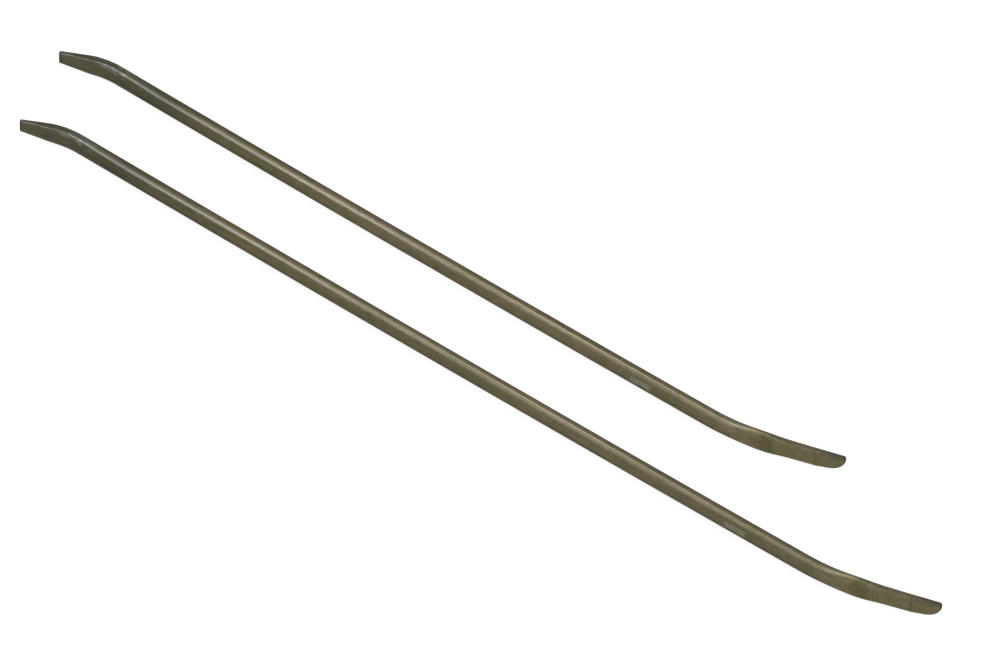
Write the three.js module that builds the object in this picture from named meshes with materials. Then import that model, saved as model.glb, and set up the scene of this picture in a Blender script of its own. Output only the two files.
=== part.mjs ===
// A pair of long forged jointing bars, lying side by side on a flat surface.
// Each bar is one piece of round steel: a square chisel blade at its -X end, a round-tipped
// spoon blade at its +X end, and a small opposite bend behind each blade.
// Millimetres. +X runs towards the spoon ends, +Z is up, and the bends lie level.

import * as THREE from "three";

// ---- driving dimensions --------------------------------------------------------------

const STOCK_DIAMETER = 16;

const LONG_LENGTH = 1000; // along the centreline, tip to tip
const SHORT_LENGTH = 854;
const SHORT_OFFSET_X = -101.2; // middle of the short shank from the middle of the long one
const SHORT_OFFSET_Y = 86.8;
const SHORT_TURN = THREE.MathUtils.degToRad(-0.09); // the bars lie not quite parallel

const CHISEL_BEND = THREE.MathUtils.degToRad(20);
const CHISEL_BLADE = 31; // straight stretch before the bend
const CHISEL_BEND_LENGTH = 27;
const CHISEL_EDGE = { thickness: 3.6, width: 12.9 };
const CHISEL_FLAT = { from: 30, thickness: 7.7, width: 16.8 };
const CHISEL_NECK = { from: 46, thickness: 10, width: 18.1 };
const CHISEL_ROUND_FROM = 115; // the stock is untouched from here on

const SPOON_BEND = THREE.MathUtils.degToRad(16.5);
const SPOON_BLADE = 62;
const SPOON_BEND_LENGTH = 71;
const SPOON_TIP_THICKNESS = 2.7;
const SPOON_BEVEL = { from: 27, thickness: 6.5, width: 17 };
const SPOON_FLAT = { from: 50, thickness: 6.9, width: 17 };
const SPOON_NECK = { from: 77, thickness: 8.2, width: 21.7 };
const SPOON_ROUND_FROM = 112;
const SPOON_LOWER_CORNER = { along: 15, across: 13.8 };
const SPOON_UPPER_CORNER = { along: 2.2, across: 2.2 };

const SHANK_BOW = THREE.MathUtils.degToRad(1); // bar stock is never dead straight

const BLADE_CORNER = 1.2; // radius along a blade's long edges
const NECK_CORNER = 3;
const EDGE_CHAMFER = 0.7; // broken edge round both cut ends

const RING_POINTS = 24;
const BEND_STEP = 6;
const SHANK_RINGS = 8;

// ---- cross-sections --------------------------------------------------------------------

// A section reaches `near` and `far` from the centreline in the plane of the bends, and
// `low` and `high` below and above it. Its corners are rounded by `corner`.
function section(at, thickness, width, corner) {
  const half = thickness / 2;
  return { at, near: half, far: half, low: width / 2, high: width / 2, corner };
}

const STOCK = section(Infinity, STOCK_DIAMETER, STOCK_DIAMETER, STOCK_DIAMETER / 2);

const CHISEL_SECTIONS = [
  section(0, CHISEL_EDGE.thickness, CHISEL_EDGE.width, BLADE_CORNER),
  section(CHISEL_FLAT.from, CHISEL_FLAT.thickness, CHISEL_FLAT.width, BLADE_CORNER),
  section(CHISEL_NECK.from, CHISEL_NECK.thickness, CHISEL_NECK.width, NECK_CORNER),
  { ...STOCK, at: CHISEL_ROUND_FROM },
];

const SPOON_SECTIONS = [
  section(0, SPOON_BEVEL.thickness, SPOON_BEVEL.width, BLADE_CORNER),
  section(SPOON_BEVEL.from, SPOON_BEVEL.thickness, SPOON_BEVEL.width, BLADE_CORNER),
  section(SPOON_FLAT.from, SPOON_FLAT.thickness, SPOON_FLAT.width, BLADE_CORNER),
  section(SPOON_NECK.from, SPOON_NECK.thickness, SPOON_NECK.width, NECK_CORNER),
  { ...STOCK, at: SPOON_ROUND_FROM },
];

const SECTION_KEYS = ["near", "far", "low", "high", "corner"];

// The section at a distance from a tip. Blades taper straight; from the neck on, the
// forging swells and blends smoothly into the round stock.
function sectionAt(sections, at, smoothFrom) {
  const next = sections.findIndex((s) => s.at > at);
  if (next < 0) return { ...STOCK, at };
  const a = sections[next - 1];
  const b = sections[next];
  const part = (at - a.at) / (b.at - a.at);
  const t = a.at >= smoothFrom ? THREE.MathUtils.smoothstep(part, 0, 1) : part;
  const result = { at };
  for (const key of SECTION_KEYS) result[key] = THREE.MathUtils.lerp(a[key], b[key], t);
  return result;
}

function chamfered(s) {
  const cut = EDGE_CHAMFER * Math.max(0, 1 - s.at / EDGE_CHAMFER);
  const result = { ...s };
  for (const key of ["near", "far", "low", "high"]) result[key] -= cut;
  return result;
}

function chiselSection(at) {
  return chamfered(sectionAt(CHISEL_SECTIONS, at, CHISEL_NECK.from));
}

// How far an elliptical corner has cut in from the blade's edge, at a distance from the tip.
function cornerCut(corner, at) {
  const part = Math.max(0, 1 - at / corner.along);
  return corner.across * (1 - Math.sqrt(1 - part * part));
}

// The spoon's near face is ground to a bevel, and its tip is rounded mostly from below.
function spoonSection(at) {
  const s = sectionAt(SPOON_SECTIONS, at, SPOON_FLAT.from);
  const bevel = Math.max(0, 1 - at / SPOON_BEVEL.from);
  s.near -= bevel * (SPOON_BEVEL.thickness - SPOON_TIP_THICKNESS);
  s.low -= cornerCut(SPOON_LOWER_CORNER, at);
  s.high -= cornerCut(SPOON_UPPER_CORNER, at);
  return chamfered(s);
}

// The closed outline of a section: points (across the blade's faces, up).
function outline(s) {
  const corner = Math.min(s.corner, (s.near + s.far) / 2, (s.low + s.high) / 2);
  const points = [];
  for (let i = 0; i < RING_POINTS; i += 1) {
    const turn = (2 * Math.PI * (i + 0.5)) / RING_POINTS;
    const c = Math.cos(turn);
    const z = Math.sin(turn);
    const across = c > 0 ? s.far - corner : corner - s.near;
    const up = z > 0 ? s.high - corner : corner - s.low;
    points.push([across + corner * c, up + corner * z]);
  }
  return points;
}

// ---- centreline ------------------------------------------------------------------------

// Straight and evenly curved stretches from the chisel tip to the spoon tip.
function stretches(length) {
  const ends = CHISEL_BLADE + CHISEL_BEND_LENGTH + SPOON_BEND_LENGTH + SPOON_BLADE;
  return [
    { length: CHISEL_BLADE, turn: 0 },
    { length: CHISEL_BEND_LENGTH, turn: -CHISEL_BEND },
    { length: length - ends, turn: SHANK_BOW },
    { length: SPOON_BEND_LENGTH, turn: SPOON_BEND },
    { length: SPOON_BLADE, turn: 0 },
  ];
}

// Moves a point and its heading along one even curve.
function advance(place, length, turn) {
  const chord = turn === 0 ? length : (2 * Math.sin(turn / 2) * length) / turn;
  const direction = place.heading + turn / 2;
  return {
    x: place.x + chord * Math.cos(direction),
    y: place.y + chord * Math.sin(direction),
    heading: place.heading + turn,
  };
}

function placeAt(length, distance) {
  let place = { x: 0, y: 0, heading: CHISEL_BEND - SHANK_BOW / 2 };
  let left = distance;
  for (const stretch of stretches(length)) {
    const step = Math.min(left, stretch.length);
    place = advance(place, step, (stretch.turn * step) / stretch.length);
    left -= step;
    if (left <= 0) break;
  }
  return place;
}

// ---- one bar ---------------------------------------------------------------------------

function evenly(from, to, steps) {
  return Array.from({ length: steps }, (_, i) => from + ((to - from) * i) / steps);
}

// Distances of the rings from the chisel tip: close together where the shape changes.
function ringDistances(length) {
  const chiselEnd = CHISEL_ROUND_FROM;
  const spoonEnd = Math.max(SPOON_ROUND_FROM, SPOON_BLADE + SPOON_BEND_LENGTH);
  const chisel = [
    0,
    EDGE_CHAMFER,
    ...evenly(CHISEL_FLAT.from, CHISEL_NECK.from, 4),
    ...evenly(CHISEL_NECK.from, chiselEnd, 12),
  ];
  const shank = evenly(chiselEnd, length - spoonEnd, SHANK_RINGS);
  const spoon = [
    0,
    EDGE_CHAMFER,
    SPOON_UPPER_CORNER.along,
    ...evenly(4, SPOON_LOWER_CORNER.along, 4),
    SPOON_LOWER_CORNER.along,
    SPOON_BEVEL.from,
    SPOON_FLAT.from,
    ...evenly(SPOON_FLAT.from + BEND_STEP, spoonEnd, Math.round((spoonEnd - SPOON_FLAT.from) / BEND_STEP)),
    spoonEnd,
  ];
  return [...chisel, ...shank, ...spoon.reverse().map((at) => length - at)];
}

// Joins the rings into one closed skin, with a fan of triangles over each end.
function loft(rings) {
  const positions = rings.flat(2);
  const index = [];
  const n = RING_POINTS;
  for (let r = 0; r + 1 < rings.length; r += 1) {
    for (let i = 0; i < n; i += 1) {
      const a = r * n + i;
      const b = r * n + ((i + 1) % n);
      index.push(a, b, b + n, a, b + n, a + n);
    }
  }
  const last = (rings.length - 1) * n;
  for (let i = 1; i + 1 < n; i += 1) {
    index.push(0, i + 1, i);
    index.push(last, last + i, last + i + 1);
  }
  const geometry = new THREE.BufferGeometry();
  geometry.setAttribute("position", new THREE.Float32BufferAttribute(positions, 3));
  geometry.setIndex(index);
  geometry.computeVertexNormals();
  return geometry;
}

function barGeometry(length) {
  const middle = placeAt(length, length / 2);
  const rings = ringDistances(length).map((distance) => {
    const fromSpoon = length - distance;
    const s = distance < fromSpoon ? chiselSection(distance) : spoonSection(fromSpoon);
    const place = placeAt(length, distance);
    const sideX = -Math.sin(place.heading);
    const sideY = Math.cos(place.heading);
    return outline(s).map(([across, up]) => [
      place.x - middle.x + across * sideX,
      place.y - middle.y + across * sideY,
      up,
    ]);
  });
  return loft(rings);
}

function forgedSteel() {
  return new THREE.MeshStandardMaterial({ color: 0x5f5a42, roughness: 0.36, metalness: 1 });
}

function bar(name, length, x, y, turn) {
  const mesh = new THREE.Mesh(barGeometry(length), forgedSteel());
  mesh.name = name;
  mesh.position.set(x, y, 0);
  mesh.rotation.z = turn;
  return mesh;
}

// ---- the pair --------------------------------------------------------------------------

const pair = new THREE.Group();
pair.add(bar("long_jointer", LONG_LENGTH, 0, 0, 0));
pair.add(bar("short_jointer", SHORT_LENGTH, SHORT_OFFSET_X, SHORT_OFFSET_Y, SHORT_TURN));

// The origin is under the middle of the pair, on the surface that the bars lie on.
const box = new THREE.Box3().setFromObject(pair, true);
const centre = box.getCenter(new THREE.Vector3());
pair.position.set(-centre.x, -centre.y, -box.min.z);

export default pair;
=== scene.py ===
"""A pair of long forged jointing bars: the fine surfaces, the steel and the studio.

Each bar starts as a straight length of round stock. It is forged flat at both ends,
ground, pressed with one blank mark, and bent, in that order, as a smith would make it.
"""

from collections import namedtuple
from math import acos, atan2, cos, exp, hypot, pi, radians, sin, sqrt, tau

import bmesh
import bpy
from bpy.props import FloatProperty, FloatVectorProperty, IntProperty, PointerProperty
from mathutils import Matrix, Vector, noise


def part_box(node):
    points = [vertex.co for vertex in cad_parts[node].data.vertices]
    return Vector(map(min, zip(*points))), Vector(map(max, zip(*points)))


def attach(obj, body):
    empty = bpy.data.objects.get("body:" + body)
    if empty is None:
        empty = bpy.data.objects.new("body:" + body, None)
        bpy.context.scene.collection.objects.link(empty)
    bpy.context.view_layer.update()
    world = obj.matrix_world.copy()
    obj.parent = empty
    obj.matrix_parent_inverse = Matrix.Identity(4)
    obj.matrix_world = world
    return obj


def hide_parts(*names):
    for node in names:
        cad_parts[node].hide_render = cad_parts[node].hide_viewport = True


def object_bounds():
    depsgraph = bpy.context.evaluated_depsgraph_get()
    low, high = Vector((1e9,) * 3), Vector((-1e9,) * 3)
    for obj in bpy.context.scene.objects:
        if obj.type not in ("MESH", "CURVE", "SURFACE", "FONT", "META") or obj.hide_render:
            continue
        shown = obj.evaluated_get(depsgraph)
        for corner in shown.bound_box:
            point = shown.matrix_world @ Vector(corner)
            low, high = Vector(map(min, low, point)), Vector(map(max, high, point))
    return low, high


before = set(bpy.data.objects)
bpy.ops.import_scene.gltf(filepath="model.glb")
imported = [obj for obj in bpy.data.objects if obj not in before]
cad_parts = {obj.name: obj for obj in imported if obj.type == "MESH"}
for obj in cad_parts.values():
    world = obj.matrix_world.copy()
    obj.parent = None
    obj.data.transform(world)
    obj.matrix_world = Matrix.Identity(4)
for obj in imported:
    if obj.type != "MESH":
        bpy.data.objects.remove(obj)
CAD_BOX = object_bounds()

bl_info = {
    "name": "Forged Jointing Bars",
    "version": (1, 0, 0),
    "blender": (4, 5, 0),
    "location": "View3D > Sidebar > Jointers",
    "description": "Makes a pair of forged jointing bars and a plain studio for them",
    "category": "Add Mesh",
}


# ---- settings --------------------------------------------------------------------------


def length(name, description, default):
    return FloatProperty(name=name, description=description, default=default, unit="LENGTH", precision=5)


def angle(name, description, degrees):
    return FloatProperty(name=name, description=description, default=radians(degrees), subtype="ANGLE")


def colour(name, description, default):
    return FloatVectorProperty(name=name, description=description, default=default, subtype="COLOR",
                               size=3, min=0.0, max=1.0)


def place(name, description, default):
    return FloatVectorProperty(name=name, description=description, default=default, subtype="TRANSLATION",
                               size=3)


def sheet(name, description, default):
    return FloatVectorProperty(name=name, description=description, default=default, subtype="XYZ_LENGTH",
                               size=2)


def factor(name, description, default):
    return FloatProperty(name=name, description=description, default=default, subtype="FACTOR",
                         min=0.0, max=1.0)


def amount(name, description, default):
    return FloatProperty(name=name, description=description, default=default, min=0.0)


class StockSettings(bpy.types.PropertyGroup):
    """The round bar that both tools are made from."""

    diameter: length("Diameter", "Diameter of the round stock", 0.016)
    long_length: length("Long bar", "Length of the long bar along its centreline", 1.0)
    short_length: length("Short bar", "Length of the short bar along its centreline", 0.854)
    short_turn: angle("Short bar turn", "How far the short bar lies from parallel", -0.09)
    bow: angle("Bow", "How much the shank bends over its whole length", 1.0)
    around: IntProperty(name="Around", description="Faces round the bar", default=96, min=24)
    ring_step: length("Ring step", "Ring spacing on the plain shank", 0.004)
    blade_step: length("Blade step", "Ring spacing on the forged ends", 0.001)
    waviness: length("Waviness", "Unevenness left by the hammer on the forged ends", 0.00012)


class ChiselSettings(bpy.types.PropertyGroup):
    """The square-ended blade."""

    bend: angle("Bend", "Angle between the blade and the shank", 20.0)
    blade: length("Blade", "Straight stretch before the bend", 0.031)
    bend_length: length("Bend length", "Length of the bend along the centreline", 0.027)
    edge_thickness: length("Edge thickness", "Thickness at the cut end", 0.0036)
    edge_width: length("Edge width", "Width at the cut end", 0.0129)
    flat_from: length("Flat from", "Where the flat blade ends, from the tip", 0.030)
    flat_thickness: length("Flat thickness", "Thickness where the flat blade ends", 0.0080)
    flat_width: length("Flat width", "Width where the flat blade ends", 0.0172)
    neck_from: length("Neck from", "Widest place of the forging, from the tip", 0.046)
    neck_thickness: length("Neck thickness", "Thickness at the neck", 0.010)
    neck_width: length("Neck width", "Width at the neck", 0.0181)
    neck_corner: length("Neck corner", "Radius of the forging's edges at the neck", 0.0033)
    round_from: length("Round from", "Where the round stock is untouched, from the tip", 0.115)


class SpoonSettings(bpy.types.PropertyGroup):
    """The round-tipped blade."""

    bend: angle("Bend", "Angle between the blade and the shank", 16.5)
    blade: length("Blade", "Straight stretch before the bend", 0.062)
    bend_length: length("Bend length", "Length of the bend along the centreline", 0.071)
    tip_thickness: length("Tip thickness", "Thickness left by the ground bevel at the tip", 0.0027)
    bevel_from: length("Bevel from", "Where the ground bevel starts, from the tip", 0.027)
    bevel_thickness: length("Bevel thickness", "Blade thickness where the bevel starts", 0.0065)
    bevel_width: length("Bevel width", "Blade width where the bevel starts", 0.017)
    flat_from: length("Flat from", "Where the flat blade ends, from the tip", 0.050)
    flat_thickness: length("Flat thickness", "Thickness where the flat blade ends", 0.0069)
    neck_from: length("Neck from", "Widest place of the forging, from the tip", 0.077)
    neck_thickness: length("Neck thickness", "Thickness at the neck", 0.0082)
    neck_width: length("Neck width", "Width at the neck", 0.0217)
    neck_corner: length("Neck corner", "Radius of the forging's edges at the neck", 0.0040)
    round_from: length("Round from", "Where the round stock is untouched, from the tip", 0.112)
    lower_along: length("Lower corner along", "Length of the tip's large lower rounding", 0.015)
    lower_across: length("Lower corner across", "Height of the tip's large lower rounding", 0.0138)
    upper_corner: length("Upper corner", "Radius of the tip's small upper rounding", 0.0022)


class FinishSettings(bpy.types.PropertyGroup):
    """Edges, the blank mark and the steel's surface."""

    blade_corner: length("Blade corner", "Radius along the blades' long edges", 0.0012)
    chamfer: length("Chamfer", "Broken edge round both cut ends", 0.0007)
    mark_from_spoon: length("Mark from spoon", "Middle of the blank mark, from the spoon tip", 0.2015)
    mark_length: length("Mark length", "Length of the blank pressed mark", 0.022)
    mark_depth: length("Mark depth", "Depth of the blank pressed mark", 0.00032)
    mark_rise: angle("Mark rise", "Direction that the mark faces, above level", 18.0)
    skin: colour("Skin", "Oiled bronze-olive skin of the stock", (0.101, 0.090, 0.053))
    ground: colour("Ground steel", "Warmer bare steel of the ground spoon", (0.124, 0.109, 0.060))
    # The scale colour is a painted shade, not forge scale: it darkens the cut ends, the blades' upper edges
    # and the spoon's face just below its top edge.
    scale: colour("Scale", "Dark forge scale on the tips and the blades' upper edges", (0.034, 0.031, 0.024))
    pit: colour("Pit", "Small dark pits", (0.020, 0.018, 0.014))
    # Along the chisel's edges the worn colour is partly real wear and partly a painted highlight.
    worn: colour("Worn edge", "Bright worn steel along the edges", (0.30, 0.29, 0.25))
    roughness: factor("Roughness", "Gloss of the oiled skin", 0.205)


class StudioSettings(bpy.types.PropertyGroup):
    """Floor, light and camera."""

    azimuth: angle("Azimuth", "Camera direction round the bars", 39.23)
    elevation: angle("Elevation", "Camera direction above level", 45.0)
    field: length("Field", "Width of the view at the bars", 0.8665)
    slide: length("Slide", "Camera aim, right of the bars' middle", 0.0042)
    rise: length("Rise", "Camera aim, above the bars' middle", -0.00134)
    lens: FloatProperty(name="Lens", description="Focal length in millimetres", default=900.0)
    floor: colour("Floor", "Pale matt floor", (0.25, 0.25, 0.25))
    floor_glow: amount("Floor glow", "Light that the back-lit floor gives by itself", 0.85)
    floor_size: length("Floor size", "Side of the floor", 60.0)
    ambient: amount("Ambient", "Strength of the even light from all round", 1.2)
    left_key_at: place("Left key place", "Middle of the softbox over the chisel ends", (-0.98, -0.297, 1.25))
    left_key_size: sheet("Left key size", "Length and width of the left softbox", (0.76, 0.235))
    left_key_turn: angle("Left key turn", "Direction of the left softbox's length", 59.0)
    left_key_radiance: amount("Left key radiance", "Brightness of the left softbox", 7.4)
    left_key_colour: colour("Left key colour", "Cool daylight", (0.52, 0.587, 1.0))
    left_fill_at: place("Left fill place", "Middle of the dim softbox by the left key", (-0.955, 0.48, 1.25))
    left_fill_size: sheet("Left fill size", "Length and width of the left fill", (0.51, 0.36))
    left_fill_turn: angle("Left fill turn", "Direction of the left fill's length", 0.0)
    left_fill_radiance: amount("Left fill radiance", "Brightness of the left fill", 1.7)
    left_fill_colour: colour("Left fill colour", "Cool daylight", (0.63, 0.60, 1.0))
    right_key_at: place("Right key place", "Middle of the softbox over the shanks", (-0.563, 0.424, 1.25))
    right_key_size: sheet("Right key size", "Length and width of the right softbox", (0.30, 0.28))
    right_key_turn: angle("Right key turn", "Direction of the right softbox's length", 35.0)
    right_key_radiance: amount("Right key radiance", "Brightness of the right softbox", 5.9)
    right_key_colour: colour("Right key colour", "Milder daylight", (0.82, 0.785, 1.0))
    spoon_key_at: place("Spoon key place", "Middle of the softbox over the spoons", (-0.32, 0.52, 1.25))
    spoon_key_size: sheet("Spoon key size", "Length and width of the spoon softbox", (0.30, 0.30))
    spoon_key_turn: angle("Spoon key turn", "Direction of the spoon softbox's length", 17.0)
    spoon_key_radiance: amount("Spoon key radiance", "Brightness of the spoon softbox", 2.0)
    spoon_key_colour: colour("Spoon key colour", "Warmer daylight", (0.86, 0.79, 0.95))
    back_key_at: place("Back key place", "Middle of the softbox behind the bars", (0.80, 0.05, 1.25))
    back_key_size: sheet("Back key size", "Length and width of the back softbox", (1.3, 0.35))
    back_key_turn: angle("Back key turn", "Direction of the back softbox's length", 39.0)
    back_key_radiance: amount("Back key radiance", "Brightness of the back softbox", 4.5)
    back_key_colour: colour("Back key colour", "Mild daylight", (0.76, 0.77, 0.95))
    panel_at: place("Panel place", "Middle of the dimmer overhead panel", (-0.68, -0.16, 1.35))
    panel_size: sheet("Panel size", "Length and width of the overhead panel", (1.6, 1.10))
    panel_turn: angle("Panel turn", "Direction of the panel's length", 10.0)
    panel_radiance: amount("Panel radiance", "Added brightness of the overhead panel", 1.5)
    panel_colour: colour("Panel colour", "Cool skylight", (0.70, 0.69, 0.98))


class JointerSettings(bpy.types.PropertyGroup):
    """All settings of the pair."""

    stock: PointerProperty(type=StockSettings)
    chisel: PointerProperty(type=ChiselSettings)
    spoon: PointerProperty(type=SpoonSettings)
    finish: PointerProperty(type=FinishSettings)
    studio: PointerProperty(type=StudioSettings)


# ---- cross-sections --------------------------------------------------------------------

# A section reaches near and far from the centreline in the plane of the bends, and low and
# high below and above it. Its corners are rounded by corner.
Section = namedtuple("Section", "near far low high corner")


def flat_section(thickness, width, corner):
    return Section(thickness / 2, thickness / 2, width / 2, width / 2, corner)


def round_section(stock):
    return flat_section(stock.diameter, stock.diameter, stock.diameter / 2)


def blend(a, b, t):
    return Section(*(p + (q - p) * t for p, q in zip(a, b)))


def smooth(t):
    return t * t * (3 - 2 * t)


def chisel_stations(settings):
    chisel, finish = settings.chisel, settings.finish
    return [
        (0.0, flat_section(chisel.edge_thickness, chisel.edge_width, finish.blade_corner)),
        (chisel.flat_from, flat_section(chisel.flat_thickness, chisel.flat_width, finish.blade_corner)),
        (chisel.neck_from, flat_section(chisel.neck_thickness, chisel.neck_width, chisel.neck_corner)),
        (chisel.round_from, round_section(settings.stock)),
    ]


def spoon_stations(settings):
    spoon, finish = settings.spoon, settings.finish
    blade = flat_section(spoon.bevel_thickness, spoon.bevel_width, finish.blade_corner)
    return [
        (0.0, blade),
        (spoon.bevel_from, blade),
        (spoon.flat_from, flat_section(spoon.flat_thickness, spoon.bevel_width, finish.blade_corner)),
        (spoon.neck_from, flat_section(spoon.neck_thickness, spoon.neck_width, spoon.neck_corner)),
        (spoon.round_from, round_section(settings.stock)),
    ]


def station_section(stations, at, smooth_from):
    """The section between two stations; the forging swells smoothly past smooth_from."""
    if at >= stations[-1][0]:
        return stations[-1][1]
    for (start, a), (end, b) in zip(stations, stations[1:]):
        if at < end:
            t = max(0.0, (at - start) / (end - start))
            return blend(a, b, smooth(t) if start >= smooth_from else t)


def softened_section(stations, at, smooth_from):
    """The same, with the kinks at the stations worn round as a forging's are."""
    reach = 0.005
    taps = [station_section(stations, max(0.0, at + reach * k / 3), smooth_from) for k in range(-3, 4)]
    return Section(*(sum(values) / len(taps) for values in zip(*taps)))


def corner_cut(along, across, at):
    """How far an elliptical corner has cut in from the edge, at a distance from the tip."""
    part = max(0.0, 1 - at / along)
    return across * (1 - sqrt(1 - part * part))


def trimmed(section, near=0.0, far=0.0, low=0.0, high=0.0):
    return section._replace(near=section.near - near, far=section.far - far,
                            low=section.low - low, high=section.high - high)


def chisel_section(settings, at):
    section = softened_section(chisel_stations(settings), at, settings.chisel.neck_from)
    cut = max(0.0, settings.finish.chamfer - at)
    return trimmed(section, cut, cut, cut, cut)


def spoon_section(settings, at):
    """The near face is ground to a bevel, and the tip is rounded mostly from below."""
    spoon = settings.spoon
    section = softened_section(spoon_stations(settings), at, spoon.flat_from)
    bevel = max(0.0, 1 - at / spoon.bevel_from) * (spoon.bevel_thickness - spoon.tip_thickness)
    cut = max(0.0, settings.finish.chamfer - at)
    low = corner_cut(spoon.lower_along, spoon.lower_across, at)
    high = corner_cut(spoon.upper_corner, spoon.upper_corner, at)
    return trimmed(section, bevel + cut, cut, low + cut, high + cut)


def outline_point(section, turn):
    """A point at a share of the way round a section, starting in the middle of its far face.

    Returns its place across and up, and how far it is from the nearest rounded corner.
    """
    corner = min(section.corner, (section.near + section.far) / 2, (section.low + section.high) / 2)
    half_across = (section.near + section.far) / 2 - corner
    half_up = (section.low + section.high) / 2 - corner
    middle = Vector(((section.far - section.near) / 2, (section.high - section.low) / 2))
    arc = corner * pi / 2
    sides = [half_up, half_across, half_up, half_across]
    quarter = half_up + half_across + arc
    place = (turn % 1.0) * 4 * quarter
    quadrant = min(3, int(place / quarter))
    place -= quadrant * quarter
    first, second = sides[quadrant], sides[(quadrant + 1) % 4]
    if place < first:
        point, away = Vector((second + corner, place)), first - place
    elif place < first + arc:
        a = (place - first) / corner
        point, away = Vector((second + corner * cos(a), first + corner * sin(a))), 0.0
    else:
        away = place - first - arc
        point = Vector((second - away, first + corner))
    point.rotate(Matrix.Rotation(quadrant * pi / 2, 2))
    return middle + point, away


# ---- centreline ------------------------------------------------------------------------

Place = namedtuple("Place", "x y heading")


def stretches(settings, bar_length):
    """Straight and evenly curved stretches from the chisel tip to the spoon tip."""
    chisel, spoon = settings.chisel, settings.spoon
    ends = chisel.blade + chisel.bend_length + spoon.bend_length + spoon.blade
    return [
        (chisel.blade, 0.0),
        (chisel.bend_length, -chisel.bend),
        (bar_length - ends, settings.stock.bow),
        (spoon.bend_length, spoon.bend),
        (spoon.blade, 0.0),
    ]


def advance(place, step, turn):
    chord = step if turn == 0 else 2 * sin(turn / 2) * step / turn
    direction = place.heading + turn / 2
    return Place(place.x + chord * cos(direction), place.y + chord * sin(direction), place.heading + turn)


def place_at(settings, bar_length, distance):
    place = Place(0.0, 0.0, settings.chisel.bend - settings.stock.bow / 2)
    for stretch, turn in stretches(settings, bar_length):
        step = min(distance, stretch)
        place = advance(place, step, turn * step / stretch)
        distance -= step
        if distance <= 0:
            break
    return place


# ---- one bar ---------------------------------------------------------------------------


def evenly(start, end, step):
    count = max(1, round((end - start) / step))
    return [start + (end - start) * i / count for i in range(count)]


def ring_distances(settings, bar_length):
    """Distances of the rings from the chisel tip: close together where the shape changes."""
    stock, chisel, spoon, finish = settings.stock, settings.chisel, settings.spoon, settings.finish
    spoon_end = spoon.blade + spoon.bend_length
    mark_start = bar_length - finish.mark_from_spoon - 0.7 * finish.mark_length
    mark_end = mark_start + 1.4 * finish.mark_length
    chisel_rings = evenly(0.0, finish.chamfer, finish.chamfer / 2)
    chisel_rings += evenly(finish.chamfer, chisel.round_from, stock.blade_step)
    shank = evenly(chisel.round_from, mark_start, stock.ring_step)
    shank += evenly(mark_start, mark_end, stock.blade_step)
    shank += evenly(mark_end, bar_length - spoon_end, stock.ring_step)
    fine = stock.blade_step / 4
    grind_line = spoon.bevel_from + fine
    spoon_rings = evenly(0.0, spoon.upper_corner, fine)
    spoon_rings += evenly(spoon.upper_corner, spoon.bevel_from, stock.blade_step / 2)
    spoon_rings += [spoon.bevel_from]
    spoon_rings += evenly(grind_line, spoon_end, stock.blade_step)
    spoon_rings += [spoon_end]
    return chisel_rings + shank + [bar_length - at for at in reversed(spoon_rings)]


def draw_stock(settings, bar_length):
    """A straight round bar along X from 0, drawn out ring by ring."""
    bm = bmesh.new()
    lie_along_x = Matrix.Rotation(radians(90), 4, "Y")
    radius = settings.stock.diameter / 2
    bmesh.ops.create_circle(bm, cap_ends=True, segments=settings.stock.around, radius=radius,
                            matrix=lie_along_x)
    ring = bm.edges[:]
    distances = ring_distances(settings, bar_length)
    for start, end in zip(distances, distances[1:]):
        drawn = bmesh.ops.extrude_edge_only(bm, edges=ring)["geom"]
        ring = [e for e in drawn if isinstance(e, bmesh.types.BMEdge)]
        verts = [v for v in drawn if isinstance(v, bmesh.types.BMVert)]
        bmesh.ops.translate(bm, verts=verts, vec=(end - start, 0, 0))
    bmesh.ops.contextual_create(bm, geom=ring)
    bmesh.ops.recalc_face_normals(bm, faces=bm.faces)
    return bm


def hammered(settings, section, at, end_share, seed):
    """A forged section's small unevenness, fading out towards the untouched stock."""
    waves = [noise.noise(Vector((at * 45.0, 3.7 * side, seed))) for side in range(4)]
    size = settings.stock.waviness * end_share
    return trimmed(section, *(size * (1 + wave) for wave in waves))


def forge_ends(bm, settings, bar_length, seed):
    """Shapes every ring to its section, and notes on it how far it is from both tips."""
    from_chisel = bm.verts.layers.float.new("from_chisel")
    from_spoon = bm.verts.layers.float.new("from_spoon")
    from_corner = bm.verts.layers.float.new("from_corner")
    from_top = bm.verts.layers.float.new("from_top")
    sections = {}
    for vert in bm.verts:
        at = round(vert.co.x, 7)
        if at not in sections:
            left = max(0.0, bar_length - at)
            chisel_side = at < left
            section = chisel_section(settings, at) if chisel_side else spoon_section(settings, left)
            reach = settings.chisel.round_from if chisel_side else settings.spoon.round_from
            share = max(0.0, 1 - min(at, left) / reach)
            sections[at] = hammered(settings, section, at, share, seed)
        turn = atan2(vert.co.z, vert.co.y) / tau
        point, away = outline_point(sections[at], turn)
        vert.co = (vert.co.x, point.x, point.y)
        vert[from_chisel] = at
        vert[from_spoon] = bar_length - at
        vert[from_corner] = away
        vert[from_top] = sections[at].high - point.y


def press_mark(bm, settings, bar_length):
    """Flattens one small blank pad on the near side of the shank."""
    finish = settings.finish
    facing = Vector((0, -cos(finish.mark_rise), sin(finish.mark_rise)))
    floor = settings.stock.diameter / 2 - finish.mark_depth
    middle = bar_length - finish.mark_from_spoon
    on_mark = bm.verts.layers.float.new("on_mark")
    for vert in bm.verts:
        beyond = abs(vert.co.x - middle) - finish.mark_length / 2
        height = vert.co.dot(facing) if beyond <= 0 else 0.0
        if height > floor:
            vert.co -= facing * (height - floor)
            vert[on_mark] = 1.0


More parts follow.
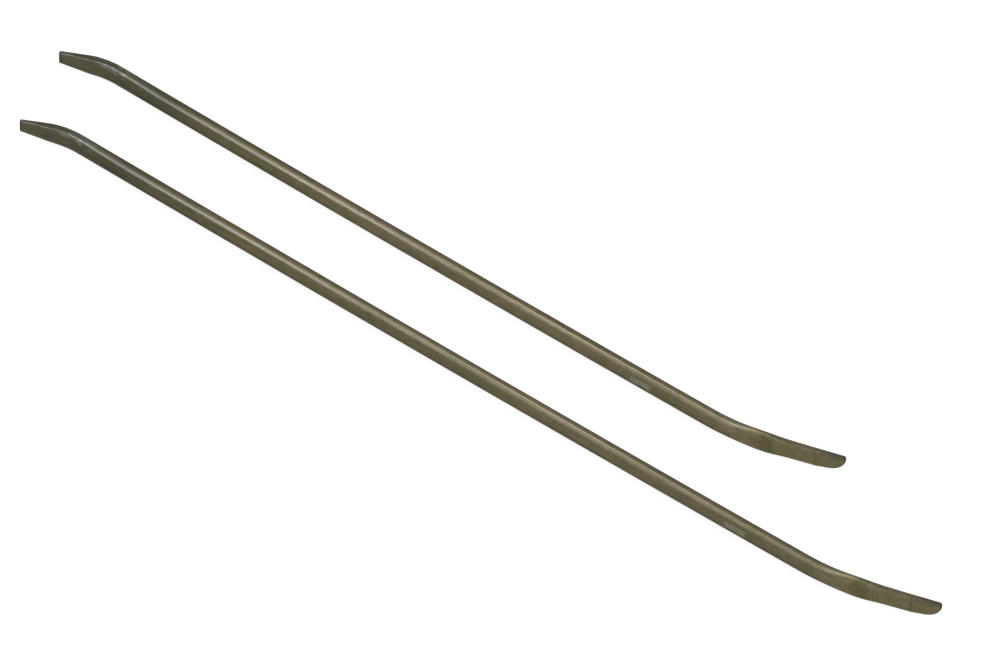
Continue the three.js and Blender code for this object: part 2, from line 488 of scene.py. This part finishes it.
def bend_bar(bm, settings, bar_length, turn):
    """Bends the straight forging along its centreline, with the shank's middle at the origin."""
    middle = place_at(settings, bar_length, bar_length / 2)
    places = {}
    for vert in bm.verts:
        at = round(vert.co.x, 7)
        if at not in places:
            places[at] = place_at(settings, bar_length, at)
        place = places[at]
        vert.co = (place.x - middle.x - vert.co.y * sin(place.heading),
                   place.y - middle.y + vert.co.y * cos(place.heading),
                   vert.co.z)
    bmesh.ops.rotate(bm, verts=bm.verts, matrix=Matrix.Rotation(turn, 3, "Z"))


def lay_on_node(bm, node):
    """Moves the mesh so that its box is centred on the CAD node's box."""
    low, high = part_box(node)
    corners = [[f(v.co[axis] for v in bm.verts) for axis in range(3)] for f in (min, max)]
    middle = (Vector(corners[0]) + Vector(corners[1])) / 2
    bmesh.ops.translate(bm, verts=bm.verts, vec=(low + high) / 2 - middle)


def make_bar(settings, name, node, body, bar_length, turn, seed):
    bm = draw_stock(settings, bar_length)
    forge_ends(bm, settings, bar_length, seed)
    press_mark(bm, settings, bar_length)
    bend_bar(bm, settings, bar_length, turn)
    lay_on_node(bm, node)
    mesh = bpy.data.meshes.new(name)
    bm.to_mesh(mesh)
    bm.free()
    mesh.shade_smooth()
    mesh.set_sharp_from_angle(angle=radians(34))
    bar = bpy.data.objects.new(name, mesh)
    bpy.context.scene.collection.objects.link(bar)
    bar.data.materials.append(forged_steel(settings, name + "_steel", seed))
    bar.visible_glossy = False  # neither bar is mirrored in the other
    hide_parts(node)
    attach(bar, body)
    return bar


# ---- shader helpers --------------------------------------------------------------------


class Graph:
    """Adds nodes to a node tree, and joins them by plain calls."""

    def __init__(self, tree):
        self.tree = tree

    def node(self, kind, inputs=None, **settings):
        node = self.tree.nodes.new(kind)
        for key, value in settings.items():
            setattr(node, key, value)
        for key, value in (inputs or {}).items():
            self.feed(node.inputs[key], value)
        return node

    def feed(self, socket, value):
        if isinstance(value, bpy.types.NodeSocket):
            self.tree.links.new(value, socket)
        else:
            socket.default_value = value

    def math(self, operation, a, b=0.0, clamp=False):
        node = self.node("ShaderNodeMath", {0: a, 1: b}, operation=operation, use_clamp=clamp)
        return node.outputs[0]

    def mix_colour(self, share, a, b, how="MIX"):
        node = self.node("ShaderNodeMix", data_type="RGBA", blend_type=how)
        self.feed(node.inputs[0], share)
        self.feed(node.inputs[6], a)
        self.feed(node.inputs[7], b)
        return node.outputs[2]

    def span(self, value, start, end, low=0.0, high=1.0):
        """value from start to end, smoothly mapped to low to high."""
        node = self.node("ShaderNodeMapRange", interpolation_type="SMOOTHSTEP")
        for socket, number in zip(node.inputs, (value, start, end, low, high)):
            self.feed(socket, number)
        return node.outputs[0]

    def ramp(self, share, stops):
        """A colour ramp; stops are (place, grey or colour)."""
        node = self.node("ShaderNodeValToRGB", {0: share})
        elements = node.color_ramp.elements
        while len(elements) < len(stops):
            elements.new(0.5)
        for element, (place, tint) in zip(elements, stops):
            element.position = place
            element.color = (*tint, 1.0) if isinstance(tint, tuple) else (tint, tint, tint, 1.0)
        return node.outputs[0]

    def attribute(self, name):
        return self.node("ShaderNodeAttribute", attribute_name=name).outputs["Fac"]


def effect_group(name, inputs, outputs, build):
    """A shader node group, built once and found again by its name."""
    group = bpy.data.node_groups.get(name)
    if group:
        return group
    group = bpy.data.node_groups.new(name, "ShaderNodeTree")
    for label, kind in inputs:
        group.interface.new_socket(name=label, in_out="INPUT", socket_type=kind)
    for label in outputs:
        group.interface.new_socket(name=label, in_out="OUTPUT", socket_type="NodeSocketFloat")
    graph = Graph(group)
    source = graph.node("NodeGroupInput")
    results = build(graph, source.outputs)
    sink = graph.node("NodeGroupOutput")
    for label, result in zip(outputs, results):
        graph.feed(sink.inputs[label], result)
    return group


def stretched_noise(graph, vector, scale, detail, roughness=0.55):
    mapped = graph.node("ShaderNodeMapping", {"Vector": vector, "Scale": scale}).outputs[0]
    return graph.node("ShaderNodeTexNoise", {"Vector": mapped, "Scale": 1.0, "Detail": detail,
                                             "Roughness": roughness}).outputs["Fac"]


def drawn_grain():
    """Lengthwise marks left by drawing the bar: broad streaks and a fine hairline grain."""

    def build(graph, inputs):
        broad = stretched_noise(graph, inputs["Vector"], (9.0, 420.0, 420.0), 3.0)
        fine = stretched_noise(graph, inputs["Vector"], (34.0, 2600.0, 2600.0), 2.0)
        return graph.span(broad, 0.32, 0.68), graph.span(fine, 0.3, 0.7)

    return effect_group("Drawn grain", [("Vector", "NodeSocketVector")], ["Streaks", "Hairlines"], build)


def mottle():
    """Cloudy patches of oil and heat colour, large and small."""

    def build(graph, inputs):
        clouds = stretched_noise(graph, inputs["Vector"], (14.0, 60.0, 60.0), 3.0)
        spots = stretched_noise(graph, inputs["Vector"], (120.0, 260.0, 260.0), 6.0, 0.72)
        return graph.span(clouds, 0.3, 0.7), graph.span(spots, 0.34, 0.66)

    return effect_group("Mottle", [("Vector", "NodeSocketVector")], ["Clouds", "Spots"], build)


def pits():
    """A few small dark pits and nicks in the skin."""

    def build(graph, inputs):
        cells = graph.node("ShaderNodeTexVoronoi", {"Vector": inputs["Vector"], "Scale": 120.0,
                                                    "Randomness": 1.0})
        chosen = graph.node("ShaderNodeSeparateColor", {0: cells.outputs["Color"]}).outputs[0]
        inside = graph.span(cells.outputs["Distance"], 0.085, 0.045)
        rare = graph.math("GREATER_THAN", chosen, 0.95)
        return (graph.math("MULTIPLY", inside, rare),)

    return effect_group("Pits", [("Vector", "NodeSocketVector")], ["Mask"], build)


def edge_wear_and_highlight():
    """Steel rubbed bright in a broken line along the blades' edges; on the chisel this mask also carries a
    painted highlight.
    """

    def build(graph, inputs):
        near = graph.span(inputs["From Edge"], 0.0009, 0.0)
        broken = stretched_noise(graph, inputs["Vector"], (160.0, 300.0, 300.0), 4.0, 0.7)
        return (graph.math("MULTIPLY", near, graph.span(broken, 0.42, 0.66)),)

    return effect_group("Edge wear", [("Vector", "NodeSocketVector"), ("From Edge", "NodeSocketFloat")],
                        ["Mask"], build)


# ---- the steel -------------------------------------------------------------------------

# Tints of the steel by distance from a tip, as shares of the reach. The darker bands are
# heat colours left by the forge; the thin one near the spoon tip is the grinding line.
# The brighter stretch at 0.56 to 0.66 of the spoon's reach is a painted highlight, where the shank's
# highlight runs out.
CHISEL_TINT_REACH = 0.40
CHISEL_TINTS = [(0.0, (0.76, 0.82, 0.88)), (0.12, (0.74, 0.80, 0.88)), (0.19, (0.68, 0.75, 0.84)),
                (0.28, (0.61, 0.66, 0.74)), (0.34, (0.73, 0.77, 0.80)), (0.50, 0.88), (0.80, 1.0)]
SPOON_TINT_REACH = 0.16
SPOON_TINTS_AND_HIGHLIGHT = [(0.0, 0.98), (0.163, 0.98), (0.167, 0.80), (0.172, 0.80), (0.177, 1.03), (0.40, 1.0),
               (0.425, (0.74, 0.79, 0.72)), (0.47, (0.77, 0.80, 0.72)), (0.51, (1.04, 0.94, 0.86)),
               (0.56, 1.20), (0.66, 1.20), (0.76, 1.0)]


def along_tint(graph, distance, reach, stops):
    return graph.ramp(graph.math("DIVIDE", distance, reach, clamp=True), stops)


def forged_steel(settings, name, seed):
    finish = settings.finish
    material = bpy.data.materials.new(name)
    material.use_nodes = True
    graph = Graph(material.node_tree)
    shader = material.node_tree.nodes["Principled BSDF"]

    coords = graph.node("ShaderNodeTexCoord").outputs["Object"]
    placed = graph.node("ShaderNodeMapping", {"Vector": coords, "Location": (seed, seed * 0.7, 0.0)})
    vector = placed.outputs[0]
    grain = graph.node("ShaderNodeGroup", node_tree=drawn_grain())
    clouds = graph.node("ShaderNodeGroup", node_tree=mottle())
    nicks = graph.node("ShaderNodeGroup", node_tree=pits())
    wear = graph.node("ShaderNodeGroup", node_tree=edge_wear_and_highlight())
    for group in (grain, clouds, nicks, wear):
        graph.feed(group.inputs["Vector"], vector)

    from_chisel = graph.attribute("from_chisel")
    from_spoon = graph.attribute("from_spoon")
    from_corner = graph.attribute("from_corner")
    graph.feed(wear.inputs["From Edge"], from_corner)

    spoon_face = graph.span(from_spoon, 0.098, 0.074)
    chisel_face = graph.span(from_chisel, 0.090, 0.050)

    base = graph.mix_colour(spoon_face, (*finish.skin, 1), (*finish.ground, 1))
    base = graph.mix_colour(1.0, base, along_tint(graph, from_chisel, CHISEL_TINT_REACH, CHISEL_TINTS),
                            "MULTIPLY")
    base = graph.mix_colour(1.0, base, along_tint(graph, from_spoon, SPOON_TINT_REACH, SPOON_TINTS_AND_HIGHLIGHT),
                            "MULTIPLY")
    object_z = graph.node("ShaderNodeSeparateXYZ", {0: coords}).outputs[2]
    along_blade = graph.node("ShaderNodeCombineXYZ", {0: from_spoon, 2: object_z}).outputs[0]
    cross_marks = stretched_noise(graph, along_blade, (1100.0, 1.0, 60.0), 3.0)
    cloud_tint = graph.ramp(clouds.outputs["Clouds"], [(0.0, (0.92, 0.95, 0.91)), (1.0, (1.09, 1.05, 1.07))])
    spot_tint = graph.ramp(clouds.outputs["Spots"], [(0.0, (0.83, 0.92, 0.76)), (1.0, (1.16, 1.07, 1.12))])
    streak_tint = graph.ramp(grain.outputs["Streaks"], [(0.0, 0.90), (1.0, 1.08)])
    cross_tint = graph.ramp(graph.span(cross_marks, 0.35, 0.65), [(0.0, 0.93), (1.0, 1.07)])
    off_spoon = graph.math("SUBTRACT", 1.0, graph.math("MULTIPLY", spoon_face, 0.75))
    for share, tint in ((off_spoon, cloud_tint), (1.0, spot_tint), (off_spoon, streak_tint),
                        (spoon_face, cross_tint)):
        base = graph.mix_colour(share, base, tint, "MULTIPLY")
    # On the spoon this is plain edge wear; on the chisel it is made strong enough to be partly a painted
    # highlight along the rounded edges.
    wear_and_highlight_places = graph.math("MAXIMUM", graph.math("MULTIPLY", chisel_face, 0.34),
                             graph.math("MULTIPLY", spoon_face, 0.14))
    rubbed = graph.math("MULTIPLY", wear.outputs["Mask"], wear_and_highlight_places)
    base = graph.mix_colour(rubbed, base, (*finish.worn, 1))
    polish = graph.span(clouds.outputs["Spots"], 0.0, 1.0, 0.20, 0.34)
    base = graph.mix_colour(graph.math("MULTIPLY", graph.attribute("on_mark"), polish), base,
                            (*finish.worn, 1))
    # Painted shade: the cut ends, the blades' upper edges and the spoon's face just under its top edge are
    # darkened with the scale colour, standing in for the shade these faces fall in, turned away from the
    # softboxes.
    tips = graph.math("MAXIMUM", graph.span(from_chisel, 0.0026, 0.0012),
                      graph.span(from_spoon, 0.0018, 0.0006))
    spoon_top_shade = graph.math("MAXIMUM", graph.span(from_spoon, 0.085, 0.055, 0.0, 0.40),
                           graph.span(from_spoon, 0.045, 0.004, 0.0, 0.90))
    top_edge_shade = graph.math("MAXIMUM", graph.span(from_chisel, 0.070, 0.040, 0.0, 0.45), spoon_top_shade)
    from_top = graph.attribute("from_top")
    top_edge_shade = graph.math("MULTIPLY", graph.span(from_top, 0.0011, 0.0003), top_edge_shade)
    under_top_shade = graph.math("MULTIPLY", graph.span(from_top, 0.0075, 0.0),
                           graph.span(from_spoon, 0.040, 0.006, 0.0, 0.42))
    painted_shade = graph.math("MAXIMUM", graph.math("MULTIPLY", tips, 0.85), graph.math("MAXIMUM", top_edge_shade, under_top_shade))
    base = graph.mix_colour(painted_shade, base, (*finish.scale, 1))
    base = graph.mix_colour(nicks.outputs["Mask"], base, (*finish.pit, 1))
    graph.feed(shader.inputs["Base Color"], base)

    rough = graph.span(clouds.outputs["Spots"], 0.0, 1.0, finish.roughness - 0.03, finish.roughness + 0.07)
    rough = graph.math("ADD", rough, graph.math("MULTIPLY", nicks.outputs["Mask"], 0.3))
    rough = graph.math("ADD", rough, graph.math("MULTIPLY", spoon_face, 0.08))
    graph.feed(shader.inputs["Roughness"], rough)
    shader.inputs["Metallic"].default_value = 1.0
    shader.inputs["Specular Tint"].default_value = (0.47, 0.45, 0.50, 1.0)

    height = graph.math("ADD", grain.outputs["Streaks"],
                        graph.math("MULTIPLY", grain.outputs["Hairlines"], 0.2))
    height = graph.math("ADD", height, graph.math("MULTIPLY", clouds.outputs["Spots"], 0.6))
    height = graph.math("SUBTRACT", height, graph.math("MULTIPLY", nicks.outputs["Mask"], 4.0))
    bump = graph.node("ShaderNodeBump", {"Strength": 0.5, "Distance": 0.000035, "Height": height})
    graph.feed(shader.inputs["Normal"], bump.outputs[0])
    return material


# ---- stage -----------------------------------------------------------------------------


def view_axes(studio):
    """Right, up and towards the camera."""
    az, el = studio.azimuth, studio.elevation
    right = Vector((cos(az), sin(az), 0))
    back = Vector((sin(az) * cos(el), -cos(az) * cos(el), sin(el)))
    return right, back.cross(right), back


def make_camera(studio):
    right, up, back = view_axes(studio)
    low, high = CAD_BOX
    aim = (low + high) / 2 + right * studio.slide + up * studio.rise
    data = bpy.data.cameras.new("camera")
    data.lens = studio.lens
    distance = studio.field * data.lens / data.sensor_width
    data.clip_end = distance * 3
    camera = bpy.data.objects.new("camera", data)
    camera.matrix_world = Matrix.Translation(aim + back * distance) @ Matrix(
        (right, up, back)).transposed().to_4x4()
    bpy.context.scene.collection.objects.link(camera)
    bpy.context.scene.camera = camera


def matt_and_lit(name, tint, glow):
    """A matt pale sheet, lit from behind so that only faint shadows show on it."""
    material = bpy.data.materials.new(name)
    material.use_nodes = True
    shader = material.node_tree.nodes["Principled BSDF"]
    shader.inputs["Base Color"].default_value = (*tint, 1)
    shader.inputs["Roughness"].default_value = 0.9
    shader.inputs["Specular IOR Level"].default_value = 0.0
    shader.inputs["Emission Color"].default_value = (1, 1, 1, 1)
    shader.inputs["Emission Strength"].default_value = glow
    return material


def make_floor(studio):
    bm = bmesh.new()
    bmesh.ops.create_grid(bm, x_segments=1, y_segments=1, size=studio.floor_size / 2)
    mesh = bpy.data.meshes.new("floor")
    bm.to_mesh(mesh)
    bm.free()
    mesh.materials.append(matt_and_lit("floor", studio.floor, studio.floor_glow))
    floor = bpy.data.objects.new("floor", mesh)
    bpy.context.scene.collection.objects.link(floor)


def make_softbox(name, at, size, turn, radiance, tint):
    """A softbox facing straight down, seen only as a reflection."""
    data = bpy.data.lights.new(name, "AREA")
    data.shape = "RECTANGLE"
    data.size, data.size_y = size
    data.color = tint
    data.energy = radiance * pi * size[0] * size[1]
    light = bpy.data.objects.new(name, data)
    light.location = at
    light.rotation_euler = (0, 0, turn)
    light.visible_camera = False
    light.visible_diffuse = False
    bpy.context.scene.collection.objects.link(light)


def make_lights(studio):
    world = bpy.data.worlds.new("studio")
    world.use_nodes = True
    world.node_tree.nodes["Background"].inputs["Color"].default_value = (1, 1, 1, 1)
    world.node_tree.nodes["Background"].inputs["Strength"].default_value = studio.ambient
    bpy.context.scene.world = world
    make_softbox("left_key", studio.left_key_at, studio.left_key_size, studio.left_key_turn,
                 studio.left_key_radiance, studio.left_key_colour)
    make_softbox("left_fill", studio.left_fill_at, studio.left_fill_size, studio.left_fill_turn,
                 studio.left_fill_radiance, studio.left_fill_colour)
    make_softbox("right_key", studio.right_key_at, studio.right_key_size, studio.right_key_turn,
                 studio.right_key_radiance, studio.right_key_colour)
    make_softbox("spoon_key", studio.spoon_key_at, studio.spoon_key_size, studio.spoon_key_turn,
                 studio.spoon_key_radiance, studio.spoon_key_colour)
    make_softbox("back_key", studio.back_key_at, studio.back_key_size, studio.back_key_turn,
                 studio.back_key_radiance, studio.back_key_colour)
    make_softbox("panel", studio.panel_at, studio.panel_size, studio.panel_turn,
                 studio.panel_radiance, studio.panel_colour)


# ---- add-on ----------------------------------------------------------------------------


class JOINTER_OT_forge_bars(bpy.types.Operator):
    """Forge the long and the short bar from round stock"""

    bl_idname = "jointer.forge_bars"
    bl_label = "Forge both bars"

    def execute(self, context):
        settings = context.scene.jointer
        stock = settings.stock
        make_bar(settings, "long_forged_bar", "long_jointer", "long_bar", stock.long_length, 0.0, 1.3)
        make_bar(settings, "short_forged_bar", "short_jointer", "short_bar", stock.short_length,
                 stock.short_turn, 5.9)
        return {"FINISHED"}


class JOINTER_OT_set_stage(bpy.types.Operator):
    """Set up the floor, the lights and the camera"""

    bl_idname = "jointer.set_stage"
    bl_label = "Set the stage"

    def execute(self, context):
        studio = context.scene.jointer.studio
        make_floor(studio)
        make_lights(studio)
        make_camera(studio)
        context.scene.view_settings.view_transform = "Standard"
        return {"FINISHED"}


class JOINTER_PT_panel(bpy.types.Panel):
    bl_label = "Jointers"
    bl_space_type = "VIEW_3D"
    bl_region_type = "UI"
    bl_category = "Jointers"

    def draw(self, context):
        for operator in (JOINTER_OT_forge_bars, JOINTER_OT_set_stage):
            self.layout.operator(operator.bl_idname)


CLASSES = (StockSettings, ChiselSettings, SpoonSettings, FinishSettings, StudioSettings, JointerSettings,
           JOINTER_OT_forge_bars, JOINTER_OT_set_stage, JOINTER_PT_panel)


def register():
    for cls in CLASSES:
        bpy.utils.register_class(cls)
    bpy.types.Scene.jointer = PointerProperty(type=JointerSettings)


def unregister():
    del bpy.types.Scene.jointer
    for cls in reversed(CLASSES):
        bpy.utils.unregister_class(cls)


def main():
    register()
    bpy.ops.jointer.forge_bars()
    bpy.ops.jointer.set_stage()


if __name__ == "__main__":
    main()
